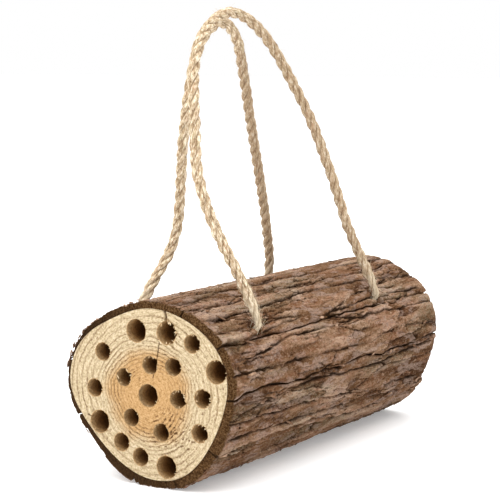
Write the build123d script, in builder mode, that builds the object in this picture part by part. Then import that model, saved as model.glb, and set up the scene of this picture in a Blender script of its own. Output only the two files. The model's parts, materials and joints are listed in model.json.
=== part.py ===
"""Insect hotel: a bark-covered log lying on its side, its front end drilled with nest holes.

Two rope loops, one on each flank, carry it. Millimetres and degrees. The log runs along Y with the
drilled end towards -Y, +Z is up, and the origin is under the middle of the log, where it lies.
Angles around the log are counted from +X towards +Z, as seen from the drilled end.
"""

import os
from math import asin, cos, degrees, pi, radians, sin, tan

from build123d import *

os.makedirs("parts", exist_ok=True)

# The log
log_length = 240.0
wood_radius = 46.5
# the wood's own irregular outline, as shares of its radius, every 30 degrees
wood_shape = (1.06, 1.11, 1.025, 0.97, 0.94, 1.04, 1.055, 0.905, 0.885, 0.96, 1.015, 0.99)
# the bark's thickness at the same angles
bark_thickness = (6.8, 6.2, 5.0, 4.2, 3.2, 2.4, 2.4, 3.2, 5.0, 6.5, 6.0, 7.4)
flat_depth = 2.4  # how far the underside is worn flat, where the log lies

# The bark has split along the log into strips: (where each begins, how far it stops short of the
# front end, and of the rear end)
bark_strips = (
    (3, 0.0, 7.0),
    (31, 0.6, 5.0),
    (61, 0.0, 1.5),
    (95, 1.2, 0.5),
    (127, 3.5, 0.5),
    (163, 0.0, 1.0),
    (199, 0.8, 0.0),
    (233, 0.0, 1.2),
    (291, 0.5, 3.5),
    (329, 0.0, 7.5),
)
fissure_width = 0.8

# Nest holes, drilled into the front end: (angle, share of the wood's radius from the middle)
nest_depth = 34.0
large_drill = 12.0
small_drill = 9.5
large_nests = ((334, 0.035), (100, 0.72), (68, 0.775), (20, 1.0), (289, 0.85), (211, 0.75))
small_nests = (
    (45, 0.885), (2, 0.76), (333, 0.81), (264, 0.735), (240, 0.68), (180, 0.71), (144, 0.73),
    (152, 0.34), (80, 0.34), (43, 0.505), (358, 0.43), (296, 0.465), (235, 0.355),
)

# The ropes, and the holes that hold their ends
rope_diameter = 6.0
rope_clearance = 0.5  # around a rope, in its hole
rope_hole_depth = 24.0  # below the wood's surface
rope_hole_tilt = 55.0  # above the horizontal
rope_hole_angle = 38.0  # around the log, up from each side
torn_bark_width = 3.5  # of the bark that is broken away around each rope
pivot_height = 1.5  # of the rope's bend above the bark
bend_gap = 0.3  # between the part of a rope that swings and the end that is held
web = 1.5  # the least wood between a nest hole and a rope hole
left_loop_setback = 8.0  # the left loop starts this much further back than the right one
glue_floor = 2.0
glue_height = 12.0

# Each loop lies in a plane that leans inwards over the log, so that its top comes this far to the
# right of the middle. Points are (back along the log from the loop's front hole, up the plane).
right_loop_top = 2.23
right_route = (
    (0, 0), (-8.5, 24), (-21.5, 49), (-27, 65.5), (-29, 83), (-24, 99), (-15.5, 127), (-8.5, 142.5),
    (1.5, 153.5), (18, 163.5), (33, 168), (46.5, 167), (60.5, 160.5), (73, 149.5), (84, 132),
    (97.5, 109), (105, 86), (111, 63.5), (114, 42), (124, 19.5), (133, 0),
)
left_loop_top = -4.89
left_route = (
    (0, 0), (13.5, 21), (22.5, 33.5), (25.5, 44), (25, 57), (19.5, 79), (14, 102), (11.5, 123),
    (10.5, 143.5), (12.5, 153.5), (18, 161.5), (26, 166), (34.5, 166), (44, 161.5), (53, 153.5),
    (65, 135), (78.5, 113.5), (91, 94.5), (106.5, 71), (118, 53.5), (130, 32.5), (137.5, 19.5),
    (142.5, 0),
)

# Worked out from the sizes above
bark_shape = [share * wood_radius + thick for share, thick in zip(wood_shape, bark_thickness)]
wood_points = [share * wood_radius for share in wood_shape]
rope_hole_diameter = rope_diameter + 2 * rope_clearance
torn_bark_diameter = rope_diameter + 2 * torn_bark_width
right_front_hole = nest_depth + web + rope_hole_diameter / 2
left_front_hole = right_front_hole + left_loop_setback
far_out = 4 * wood_radius  # well outside the log


def around(angle, radius):
    """The point at an angle and a distance from the middle of the section."""
    return (radius * cos(radians(angle)), radius * sin(radians(angle)))


def outline(radii):
    """The points of an outline whose radii are given every 30 degrees."""
    return [around(30 * n, radius) for n, radius in enumerate(radii)]


# The underside's height, and the shift that puts the origin under the middle of the log
with BuildSketch() as whole_section:
    with BuildLine():
        Spline(*outline(bark_shape), periodic=True)
    make_face()
section_box = whole_section.sketch.bounding_box()
underside = section_box.min.Y + flat_depth
middle_x = (section_box.min.X + section_box.max.X) / 2

axis_at = Vector(-middle_x, 0, -underside)  # the middle of the wood, half-way along the log
rear_end = Plane(axis_at + Vector(0, log_length / 2, 0), x_dir=(1, 0, 0), z_dir=(0, -1, 0))
front_end = Plane(axis_at - Vector(0, log_length / 2, 0), x_dir=(1, 0, 0), z_dir=(0, -1, 0))


def radius_at(angle, radii):
    """The distance from the middle to an outline at an angle."""
    with BuildLine() as edge:
        Spline(*outline(radii), periodic=True)
    ray = Edge.make_line((0, 0), around(angle, far_out))
    return edge.edge().find_intersection_points(ray)[0].length


def nest_places(places):
    """Where nest holes start on the front end's plane."""
    return [around(angle, share * wood_radius) for angle, share in places]


def drill_nests(depth):
    """Drills every nest hole from the front end."""
    with Locations(front_end):
        with Locations(*nest_places(large_nests)):
            Hole(large_drill / 2, depth)
        with Locations(*nest_places(small_nests)):
            Hole(small_drill / 2, depth)


class RopeSide:
    """One side's rope: its hinge line, its leaning plane, and the planes down its two holes."""

    def __init__(self, side, loop_top, route, front_hole):
        self.route = route
        flank = rope_hole_angle if side > 0 else 180 - rope_hole_angle
        self.bark_radius = radius_at(flank, bark_shape)
        self.wood_depth = self.bark_radius + pivot_height - radius_at(flank, wood_points)
        across, up = around(flank, self.bark_radius + pivot_height)
        front_y = front_hole - log_length / 2
        self.pivot = axis_at + Vector(across, front_y, up)
        lean = asin((self.pivot.X - loop_top) / max(height for _, height in route))
        rise = Vector(-sin(lean), 0, cos(lean))
        self.plane = Plane(self.pivot, x_dir=(0, 1, 0), z_dir=Vector(0, 1, 0).cross(rise))
        tilt = radians(rope_hole_tilt)
        self.inward = Vector(-side * cos(tilt), 0, -sin(tilt))
        self.span = route[-1][0]

    def hole_planes(self):
        """A plane at each end of the hinge line, facing down the hole there."""
        rear = self.pivot + Vector(0, self.span, 0)
        return [Plane(at, x_dir=(0, 1, 0), z_dir=self.inward) for at in (self.pivot, rear)]

    def hole_length(self):
        """From the pivot to the bottom of the hole."""
        return self.wood_depth + rope_hole_depth


right = RopeSide(1, right_loop_top, right_route, right_front_hole)
left = RopeSide(-1, left_loop_top, left_route, left_front_hole)


def bore_rope_holes(diameter):
    """Bores both sides' rope holes at a diameter, from outside the bark."""
    for side in (right, left):
        for plane in side.hole_planes():
            with Locations(plane.offset(-torn_bark_diameter)):
                Cylinder(
                    diameter / 2,
                    torn_bark_diameter + side.hole_length(),
                    align=(Align.CENTER, Align.CENTER, Align.MIN),
                    mode=Mode.SUBTRACT,
                )


def log_core():
    """The wood: nest holes in the front end, and two rope holes in each flank."""
    with BuildPart() as core:
        with BuildSketch(rear_end):
            with BuildLine():
                Spline(*outline(wood_points), periodic=True)
            make_face()
        extrude(amount=log_length)
        drill_nests(nest_depth)
        bore_rope_holes(rope_hole_diameter)
    core.part.label = "log_core"
    return core.part


def bark_strip(number):
    """One strip of bark between two fissures, as thick as the bark is there."""
    start, front_short, rear_short = bark_strips[number]
    end = bark_strips[(number + 1) % len(bark_strips)][0]
    if end < start:
        end += 360
    half_gap = degrees(fissure_width / 2 / wood_radius)
    from_angle, to_angle = start + half_gap, end - half_gap
    middle = (from_angle + to_angle) / 2
    with BuildPart() as strip:
        with BuildSketch(rear_end.offset(rear_short)):
            with BuildLine():
                Spline(*outline(bark_shape), periodic=True)
            make_face()
            with BuildLine():
                Spline(*outline(wood_points), periodic=True)
            make_face(mode=Mode.SUBTRACT)
            with BuildLine():
                Polyline(
                    (0, 0),
                    around(from_angle, far_out),
                    around(middle, far_out),
                    around(to_angle, far_out),
                    close=True,
                )
            make_face(mode=Mode.INTERSECT)
            with Locations((0, underside)):
                Rectangle(
                    far_out * 2,
                    far_out,
                    align=(Align.CENTER, Align.MIN),
                    mode=Mode.INTERSECT,
                )
        extrude(amount=log_length - front_short - rear_short)
        drill_nests(nest_depth)
        bore_rope_holes(torn_bark_diameter)
    strip.part.label = f"bark_strip_{number + 1:02d}"
    return strip.part


def corner_radii(points):
    """The arc at each corner of a route: 0.45 of the shorter run, over the tangent of half the turn."""
    corners = zip(points, points[1:], points[2:])
    radii = []
    for before, at, after in corners:
        run_in, run_out = Vector(at) - Vector(before), Vector(after) - Vector(at)
        half_turn = radians(run_in.get_angle(run_out) / 2)
        radii.append(0.45 * min(run_in.length, run_out.length) / tan(half_turn))
    return radii


def rope_loop(side, name):
    """The part of a rope that swings: a tube from hole to hole, with a round end at each pivot."""
    radii = corner_radii(side.route)
    with BuildPart() as loop:
        with BuildLine(side.plane) as path:
            FilletPolyline(*side.route, radius=radii)
        centreline = path.wire()
        with BuildSketch(Plane(centreline @ 0, z_dir=centreline % 0)):
            Circle(rope_diameter / 2)
        sweep(path=centreline)
        with Locations(centreline @ 0, centreline @ 1):
            Sphere(rope_diameter / 2)
    tube = centreline.length * pi * rope_diameter**2 / 4
    ends = pi * rope_diameter**3 / 6
    print(name, "corner radii", [round(radius, 1) for radius in radii])
    print(name, "length", round(centreline.length, 1), "expected volume", round(tube + ends))
    loop.part.label = name
    return loop.part


def rope_end(side, plane, name):
    """A rope's end, down in its hole, from just under the swinging part's round end."""
    top = rope_diameter / 2 + bend_gap
    with BuildPart() as end:
        with BuildSketch(plane.offset(top)):
            Circle(rope_diameter / 2)
        extrude(amount=side.hole_length() - glue_floor - top)
    end.part.label = name
    return end.part


def glue_plugs():
    """The set glue at the bottom of the four rope holes, a cup around each rope's end."""
    with BuildPart() as glue:
        for side in (right, left):
            for plane in side.hole_planes():
                bottom = plane.offset(side.hole_length() - glue_height)
                with BuildSketch(bottom):
                    Circle(rope_hole_diameter / 2)
                extrude(amount=glue_height)
                with BuildSketch(bottom):
                    Circle(rope_diameter / 2)
                extrude(amount=glue_height - glue_floor, mode=Mode.SUBTRACT)
    glue.part.label = "glue_plugs"
    return glue.part


pieces = [log_core(), glue_plugs()]
pieces += [bark_strip(number) for number in range(len(bark_strips))]
for side, name in ((right, "right"), (left, "left")):
    pieces.append(rope_loop(side, f"rope_loop_{name}"))
    for plane, end in zip(side.hole_planes(), ("front", "rear")):
        pieces.append(rope_end(side, plane, f"rope_end_{name}_{end}"))
for piece in pieces:
    export_step(piece, f"parts/{piece.label}.step")
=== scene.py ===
"""Insect hotel: the looks of a bark-covered log with drilled nest holes and two rope loops.

The shapes are worked out in millimetres and become metres when a mesh is made. The log runs along
Y with its drilled end towards -Y. Angles around it are in degrees, from +X towards +Z.
"""

import json
from itertools import product
from math import asin, cos, pi, radians, sin

import bmesh
import bpy
import numpy as np
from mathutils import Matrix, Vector
from mathutils.geometry import delaunay_2d_cdt


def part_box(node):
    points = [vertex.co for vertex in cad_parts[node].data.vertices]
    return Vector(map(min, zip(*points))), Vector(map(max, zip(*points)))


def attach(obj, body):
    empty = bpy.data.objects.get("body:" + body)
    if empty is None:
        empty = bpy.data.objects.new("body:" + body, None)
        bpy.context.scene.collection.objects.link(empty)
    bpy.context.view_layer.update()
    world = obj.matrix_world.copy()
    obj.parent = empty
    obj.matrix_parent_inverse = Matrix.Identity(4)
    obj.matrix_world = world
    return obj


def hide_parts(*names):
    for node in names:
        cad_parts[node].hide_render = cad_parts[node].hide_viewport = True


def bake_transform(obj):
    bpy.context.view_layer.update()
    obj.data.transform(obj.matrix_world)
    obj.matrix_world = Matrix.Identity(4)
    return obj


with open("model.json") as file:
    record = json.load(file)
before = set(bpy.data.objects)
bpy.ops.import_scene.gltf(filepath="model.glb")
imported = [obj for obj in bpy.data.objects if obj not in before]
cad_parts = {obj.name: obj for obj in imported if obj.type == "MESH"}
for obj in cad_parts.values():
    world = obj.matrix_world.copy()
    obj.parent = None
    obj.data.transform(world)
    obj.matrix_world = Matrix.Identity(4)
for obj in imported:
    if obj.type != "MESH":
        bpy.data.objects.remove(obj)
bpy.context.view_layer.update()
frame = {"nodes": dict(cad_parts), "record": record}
MM = 1000.0  # millimetres in a metre
rng = np.random.default_rng(7)

# ---------------------------------------------------------------- camera


def make_camera():
    camera = bpy.data.objects.new("camera", bpy.data.cameras.new("camera"))
    camera.data.lens = 122.4
    camera.location = (0.5017, -0.8326, 0.2268)
    camera.rotation_euler = (radians(83.323), 0, radians(31.72))
    bpy.context.collection.objects.link(camera)
    bpy.context.scene.camera = camera


make_camera()

# ---------------------------------------------------------------- noise


GRADIENTS = np.array([g for g in product((-1, 0, 1), repeat=3) if sum(map(abs, g)) == 2], float)


def cell_random(cells, seed):
    """A repeatable random number from 0 to 1 for each row of whole numbers."""
    mixed = np.full(cells.shape[:-1], seed + 1, np.uint64) * np.uint64(0x9E3779B97F4A7C15)
    for column in range(cells.shape[-1]):
        whole = cells[..., column].astype(np.int64).astype(np.uint64)
        mixed ^= whole * np.uint64(0xBF58476D1CE4E5B9)
        mixed = (mixed ^ (mixed >> np.uint64(29))) * np.uint64(0x94D049BB133111EB)
        mixed ^= mixed >> np.uint64(32)
    return (mixed >> np.uint64(11)) / 2.0**53


def noise(points, seed):
    """Smooth noise, from about -1 to 1, with one wave in each unit of the points."""
    base = np.floor(points)
    part = points - base
    fade = part**3 * (part * (part * 6 - 15) + 10)
    total = np.zeros(len(points))
    for corner in product((0, 1), repeat=3):
        slope = GRADIENTS[(cell_random(base + corner, seed) * 12).astype(int)]
        weight = np.prod(np.where(corner, fade, 1 - fade), axis=1)
        total += weight * ((part - corner) * slope).sum(axis=1)
    return total * 1.5


def noise_along(values, seed):
    """Smooth noise along a line, with one wave in each unit of the values."""
    values = np.asarray(values, float)
    points = np.stack((values, np.full_like(values, 0.37), np.full_like(values, 0.71)), axis=1)
    return noise(points, seed)


def step(low, high, value):
    """0 below low, 1 above high, and smooth between."""
    share = np.clip((value - low) / (high - low), 0, 1)
    return share * share * (3 - 2 * share)


# ---------------------------------------------------------------- meshes


def build(name, points, faces, values=None, vectors=None):
    """An object from points in millimetres, arrays of faces, and named values at its points."""
    mesh = bpy.data.meshes.new(name)
    mesh.vertices.add(len(points))
    mesh.vertices.foreach_set("co", (np.asarray(points) / MM).astype(np.float32).ravel())
    arrays = [np.asarray(array, np.int32) for array in faces if len(array)]
    sizes = np.concatenate([np.full(len(array), array.shape[1]) for array in arrays])
    corners = np.concatenate([array.ravel() for array in arrays])
    mesh.loops.add(len(corners))
    mesh.loops.foreach_set("vertex_index", corners)
    mesh.polygons.add(len(sizes))
    mesh.polygons.foreach_set("loop_start", np.cumsum(sizes) - sizes)
    mesh.update(calc_edges=True)
    for key, numbers in (values or {}).items():
        layer = mesh.attributes.new(key, "FLOAT", "POINT")
        layer.data.foreach_set("value", np.asarray(numbers, np.float32))
    for key, numbers in (vectors or {}).items():
        layer = mesh.attributes.new(key, "FLOAT_VECTOR", "POINT")
        layer.data.foreach_set("vector", np.asarray(numbers, np.float32).ravel())
    turn_outwards(mesh)
    piece = bpy.data.objects.new(name, mesh)
    bpy.context.collection.objects.link(piece)
    return piece


def turn_outwards(mesh):
    """Turns every face of a closed mesh outwards and shades it smooth."""
    work = bmesh.new()
    work.from_mesh(mesh)
    bmesh.ops.recalc_face_normals(work, faces=work.faces)
    work.to_mesh(mesh)
    work.free()
    mesh.polygons.foreach_set("use_smooth", np.ones(len(mesh.polygons), bool))


def ring_faces(first, second):
    """Quads between two closed rings of point numbers."""
    return np.stack((first, np.roll(first, -1), np.roll(second, -1), second), axis=1)


def inside(points, loop):
    """Which points lie inside a closed outline."""
    x, y = points[:, :1], points[:, 1:]
    ax, ay = loop[:, 0], loop[:, 1]
    bx, by = np.roll(ax, -1), np.roll(ay, -1)
    across = (ay > y) != (by > y)
    slope = np.where(by == ay, 1.0, by - ay)
    return (across & (x < (bx - ax) * (y - ay) / slope + ax)).sum(axis=1) % 2 == 1


def triangles(loops, spots, spacing):
    """Triangles over closed loops, the first the outline and the rest holes, and spots within."""
    points = np.concatenate((*loops, spots)) / spacing
    edges, start = [], 0
    for loop in loops:
        count = len(loop)
        edges += [(start + n, start + (n + 1) % count) for n in range(count)]
        start += count
    found = delaunay_2d_cdt([Vector(p) for p in points], edges, [], 1, 1e-6)
    source = np.array([numbers[0] for numbers in found[3]])
    faces = source[np.array(found[2])]
    start = len(loops[0])
    for loop in loops[1:]:
        among = ((faces >= start) & (faces < start + len(loop))).all(axis=1)
        middles = points[faces[among]].mean(axis=1)
        faces = np.delete(faces, np.flatnonzero(among)[inside(middles, loop / spacing)], axis=0)
        start += len(loop)
    return faces


def spread(low, high, spacing):
    """Spots on a slightly uneven grid over a rectangle."""
    across = np.arange(low[0] + spacing[0] / 2, high[0], spacing[0])
    along = np.arange(low[1] + spacing[1] / 2, high[1], spacing[1])
    grid = np.stack(np.meshgrid(across, along), axis=-1).reshape(-1, 2)
    return grid + (rng.random(grid.shape) - 0.5) * 0.35 * np.array(spacing)


# ---------------------------------------------------------------- the log's outlines, from the frame


def node_points(name):
    """A CAD node's points, in millimetres."""
    mesh = frame["nodes"][name].data
    flat = np.empty(len(mesh.vertices) * 3)
    mesh.vertices.foreach_get("co", flat)
    return flat.reshape(-1, 3) * MM


def polar(points):
    """Angles and distances from the log's middle line."""
    across, up = points[:, 0] - middle[0], points[:, 2] - middle[1]
    return np.degrees(np.arctan2(up, across)) % 360, np.hypot(across, up)


def outline_table(points):
    """Angles and radii of an outline's points, in order."""
    angles, radii = polar(points)
    order = np.argsort(angles)
    return angles[order], radii[order]


core_low, core_high = (np.array(corner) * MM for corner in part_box("log_core"))
middle = ((core_low[0] + core_high[0]) / 2, (core_low[2] + core_high[2]) / 2)
front, log_length = core_low[1], core_high[1] - core_low[1]
strip_names = sorted(name for name in frame["nodes"] if name.startswith("bark_strip"))

core_points = node_points("log_core")
wood_table = outline_table(core_points[core_points[:, 1] > core_high[1] - 0.01])


def wood_radius(angles):
    """The wood's radius at each angle."""
    return np.interp(angles % 360, *wood_table, period=360)


def rear_rim(name):
    """The outer points of a bark strip's rear end."""
    points = node_points(name)
    points = points[points[:, 1] > points[:, 1].max() - 0.01]
    angles, radii = polar(points)
    return points[radii > wood_radius(angles) + 0.5]


bark_table = outline_table(np.concatenate([rear_rim(name) for name in strip_names]))


def bark_radius(angles):
    """The bark's outer radius at each angle, no lower than the surface that the log lies on."""
    radii = np.interp(angles % 360, *bark_table, period=360)
    down = np.minimum(np.sin(np.radians(angles)), -1e-6)
    return np.minimum(radii, np.where(down < -0.5, middle[1] / -down, radii))


def place(angles, radii, along):
    """Points from angles, radii and distances from the front end."""
    turn = np.radians(angles)
    across = middle[0] + radii * np.cos(turn)
    return np.stack((across, front + along, middle[1] + radii * np.sin(turn)), axis=1)


# ---------------------------------------------------------------- ropes

# Each loop's route: (back along the log from its front hole, up the plane that it leans in), in metres
right_route = (
    (0, 0), (-0.0085, 0.024), (-0.0215, 0.049), (-0.027, 0.0655), (-0.029, 0.083), (-0.024, 0.099),
    (-0.0155, 0.127), (-0.0085, 0.1425), (0.0015, 0.1535), (0.018, 0.1635), (0.033, 0.168),
    (0.0465, 0.167), (0.0605, 0.1605), (0.073, 0.1495), (0.084, 0.132), (0.0975, 0.109),
    (0.105, 0.086), (0.111, 0.0635), (0.114, 0.042), (0.124, 0.0195), (0.133, 0),
)
left_route = (
    (0, 0), (0.0135, 0.021), (0.0225, 0.0335), (0.0255, 0.044), (0.025, 0.057), (0.0195, 0.079),
    (0.014, 0.102), (0.0115, 0.123), (0.0105, 0.1435), (0.0125, 0.1535), (0.018, 0.1615),
    (0.026, 0.166), (0.0345, 0.166), (0.044, 0.1615), (0.053, 0.1535), (0.065, 0.135),
    (0.0785, 0.1135), (0.091, 0.0945), (0.1065, 0.071), (0.118, 0.0535), (0.13, 0.0325),
    (0.1375, 0.0195), (0.1425, 0),
)
rope_diameter = 0.006
loop_tops = {"right": 0.00223, "left": -0.00489}  # how far right of the middle each loop comes
rope_hole_tilt = radians(55)  # above the horizontal
strand_offset = 1.4  # of each strand's middle from the rope's middle, in millimetres
strand_radius = 1.65
lay_length = 24.0  # along the rope for one whole turn of its strands
ring_spacing = 0.45
ring_points = 48


class Rope:
    """One rope: its hinge, its holes' direction, and its centreline from hole bottom to hole bottom."""

    def __init__(self, side, route):
        self.side = side
        sign = 1 if side == "right" else -1
        joints = {joint["name"]: joint for joint in frame["record"]["behaviour"]["joints"]}
        across, middle_y, up = joints[f"{side}_loop_swing"]["pos_m"]
        span = route[-1][0]
        self.pivot = Vector((across, middle_y - span / 2, up))
        self.rear_pivot = self.pivot + Vector((0, span, 0))
        lean = asin((across - loop_tops[side]) / max(height for _, height in route))
        self.rise = Vector((-sin(lean), 0, cos(lean)))
        self.inward = Vector((-sign * cos(rope_hole_tilt), 0, -sin(rope_hole_tilt)))
        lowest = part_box(f"rope_end_{side}_front")[0][2]
        drop = up - lowest - rope_diameter / 2 * cos(rope_hole_tilt)
        depth = drop / sin(rope_hole_tilt)
        self.route = [self.pivot + Vector((0, back, 0)) + self.rise * height for back, height in route]
        held = [self.inward * (depth * share) for share in (1, 0.75, 0.5, 0.28, 0.12)]
        start = [self.pivot + step for step in held]
        end = [self.rear_pivot + step for step in reversed(held)]
        self.control_points = start + self.route + end

    def centreline(self):
        """Evenly spaced points along the rope's smooth line, in millimetres."""
        curve = bpy.data.curves.new("rope_line", "CURVE")
        curve.dimensions = "3D"
        spline = curve.splines.new("NURBS")
        spline.points.add(len(self.control_points) - 1)
        for point, at in zip(spline.points, self.control_points):
            point.co = (*at, 1)
        spline.order_u = 3
        spline.use_endpoint_u = True
        spline.resolution_u = 24
        line = bpy.data.objects.new("rope_line", curve)
        bpy.context.collection.objects.link(line)
        bpy.context.view_layer.update()
        graph = bpy.context.evaluated_depsgraph_get()
        mesh = bpy.data.meshes.new_from_object(line.evaluated_get(graph))
        points = np.array([vertex.co for vertex in mesh.vertices]) * MM
        bpy.data.objects.remove(line)
        bpy.data.meshes.remove(mesh)
        travelled = np.r_[0, np.linalg.norm(np.diff(points, axis=0), axis=1).cumsum()]
        stations = np.linspace(0, travelled[-1], round(travelled[-1] / ring_spacing) + 1)
        line = np.stack([np.interp(stations, travelled, points[:, k]) for k in range(3)], axis=1)
        return line, stations


def carried_frames(line):
    """Two directions across a line at each point, turning no more than the line does."""
    tangents = np.gradient(line, axis=0)
    tangents /= np.linalg.norm(tangents, axis=1)[:, None]
    across = np.cross(tangents[0], (0.3, 0.9, 0.2))
    firsts = []
    for tangent in tangents:
        across = across - tangent * (across @ tangent)
        across = across / np.linalg.norm(across)
        firsts.append(across)
    firsts = np.array(firsts)
    return tangents, firsts, np.cross(tangents, firsts)


def pivot_distance(line, rope):
    """How far each point of a rope's line is from the nearer of its two bends."""
    ends = [np.array(pivot) * MM for pivot in (rope.pivot, rope.rear_pivot)]
    return np.min([np.linalg.norm(line - end, axis=1) for end in ends], axis=0)


def narrowing(near):
    """How much of its width a rope keeps near its bends, where it is squeezed."""
    return 1 - 0.42 * (1 - step(2, 15, near))


def strand_sizes(lobe, stations, seed):
    """How thick each strand is along the rope, as a share of its usual radius."""
    size = np.ones(lobe.shape)
    for strand in range(3):
        thick = 1 + 0.06 * noise_along(stations / 13, seed + strand)
        thick += 0.035 * noise_along(stations / 4, seed + 5 + strand)
        size = np.where(lobe == strand, thick[:, None], size)
    return size


def make_rope(rope):
    """Three strands twisted round the rope's line, with yarns and uneven fibres on each."""
    line, stations = rope.centreline()
    _, first, second = carried_frames(line)
    seed = 11 if rope.side == "right" else 31
    turn = np.tile(np.arange(ring_points) * 2 * pi / ring_points, (len(line), 1))
    lobe = (turn * 3 / (2 * pi) + 0.5).astype(int) % 3  # the strand that each point is on
    off = (turn + pi / 3) % (2 * pi / 3) - pi / 3  # its angle from that strand's middle
    along = np.repeat(stations[:, None], ring_points, axis=1)

    radius = strand_radius * strand_sizes(lobe, stations, seed)
    beyond = strand_offset * np.sin(off)
    reach = strand_offset * np.cos(off) + np.sqrt(np.maximum(radius**2 - beyond**2, 0.01))
    surface = np.arctan2(reach * np.sin(off), reach * np.cos(off) - strand_offset)

    yarn = surface * 5 + along * 2 * pi / 3.4
    fibres = np.stack((yarn / 2.6, along / 5, lobe * 3.7), axis=-1)
    hair = noise(fibres.reshape(-1, 3), seed + 20).reshape(turn.shape)
    coarse = np.stack((surface * 1.7, along / 2.6, lobe * 5.3), axis=-1)
    lumps = noise(coarse.reshape(-1, 3), seed + 21).reshape(turn.shape)
    reach = reach + 0.09 * np.cos(yarn) + 0.22 * hair + 0.12 * lumps

    near = pivot_distance(line, rope)
    narrow = narrowing(near)
    reach *= narrow[:, None]

    turned = turn + (stations * 2 * pi / lay_length)[:, None]
    points = (
        line[:, None]
        + (reach * np.cos(turned))[..., None] * first[:, None]
        + (reach * np.sin(turned))[..., None] * second[:, None]
    ).reshape(-1, 3)
    rings = np.arange(len(points)).reshape(len(line), ring_points)
    walls = np.concatenate([ring_faces(a, b) for a, b in zip(rings[:-1], rings[1:])])
    centres = len(points) + np.arange(2)
    points = np.concatenate((points, line[[0, -1]]))
    caps = [
        np.stack((ring, np.roll(ring, -1), np.full(ring_points, centre)), axis=1)
        for ring, centre in zip((rings[0], rings[-1]), centres)
    ]
    # How high each point stands on its strand; the rope's material paints shade where this is low.
    crest = step(1.4, 3.0, reach / narrow[:, None])
    grain = np.stack((yarn * 0.45, along, lobe * 5.0), axis=-1).reshape(-1, 3)
    pale = np.repeat(1 - step(4, 26, near), ring_points)
    share = stations / stations[-1] + 0.06 * noise_along(stations / 30, seed + 40)
    brown = step(0.46, 0.6, share) * (0.85 if rope.side == "right" else 1.0)
    brown = np.repeat(brown, ring_points)
    values = {"crest": np.r_[crest.ravel(), 0, 0], "pale": np.r_[pale, 1, 1], "brown": np.r_[brown, 0, 0]}
    vectors = {"grain": np.concatenate((grain, np.zeros((2, 3))))}
    piece = build(f"rope_{rope.side}", points, [walls, *caps], values, vectors)
    return piece, line, stations, first, second


def make_fuzz(rope, line, stations, first, second):
    """Fine fibres that stand out of a rope, each a thin tapering tube."""
    draw = np.random.default_rng(5 if rope.side == "right" else 6)
    tangents = np.gradient(line, axis=0) / ring_spacing
    near = pivot_distance(line, rope)
    inner = (near < 20) & (line[:, 2] < rope.pivot[2] * MM - 2)
    weights = np.where(inner, 0.0, 1 + 2.5 * (near < 16))
    count, sides, joints = 1150, 3, 6
    share = np.linspace(0, 1, joints)[:, None]
    thick = 0.07 * (1 - 0.7 * share)
    all_points = []
    for pick in draw.choice(len(line), count, p=weights / weights.sum()):
        turn = draw.random() * 2 * pi
        out = first[pick] * cos(turn) + second[pick] * sin(turn)
        beside = np.cross(tangents[pick], out)
        length = draw.uniform(1.6, 6.5) * (1.4 if near[pick] < 16 else 1)
        heading = tangents[pick] * draw.choice((-1, 1)) + out * draw.uniform(0.12, 0.6)
        heading = heading + beside * draw.uniform(-0.5, 0.5)
        curl = out * draw.uniform(-0.5, 0.25) + beside * draw.uniform(-0.5, 0.5)
        root = line[pick] + out * (2.55 * narrowing(near[pick]))
        spine = root + (heading * share + curl * share**2) * length * 0.8
        turns = [2 * pi * k / sides for k in range(sides)]
        rings = [spine + (out * cos(turn) + beside * sin(turn)) * thick for turn in turns]
        all_points.append(np.stack(rings, axis=1).reshape(-1, 3))
    numbers = np.arange(count * joints * sides).reshape(count, joints, sides)
    walls = [ring_faces(a, b) for fibre in numbers for a, b in zip(fibre[:-1], fibre[1:])]
    faces = [np.concatenate(walls), numbers[:, 0], numbers[:, -1]]
    return build(f"rope_{rope.side}_fibres", np.concatenate(all_points), faces)


def finish_rope(rope):
    piece, line, stations, first, second = make_rope(rope)
    fuzz = make_fuzz(rope, line, stations, first, second)
    for part in (piece, fuzz):
        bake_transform(part)
    nodes = [name for name in frame["nodes"] if name.startswith("rope") and rope.side in name]
    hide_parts(*nodes)
    return piece, fuzz


right_rope = Rope("right", right_route)
left_rope = Rope("left", left_route)
ropes = [*finish_rope(right_rope), *finish_rope(left_rope)]

# ---------------------------------------------------------------- bark

bark_scale = 50.0  # the radius at which distances around the bark are counted
point_spacing = np.array((0.5, 0.75))  # around and along the bark
full_thickness = 6.0  # bark thinner than this has less relief
highest_relief = 2.2  # above the CAD surface
furthest_setback = 1.8  # of a strip's front end behind the wood's
wall_steps = 7  # from a strip's outer face to its inner face
bark_values = ("groove_shade", "tone", "worn", "mossy", "torn", "cut")


def bark_noise(angles, along, wave_around, wave_along, seed):
    """Noise over the bark, with waves of these lengths around and along the log."""
    turn = np.radians(angles)
    ring = bark_scale / wave_around
    points = np.stack((np.cos(turn) * ring, np.sin(turn) * ring, along / wave_along), axis=1)
    return noise(points, seed)


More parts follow.
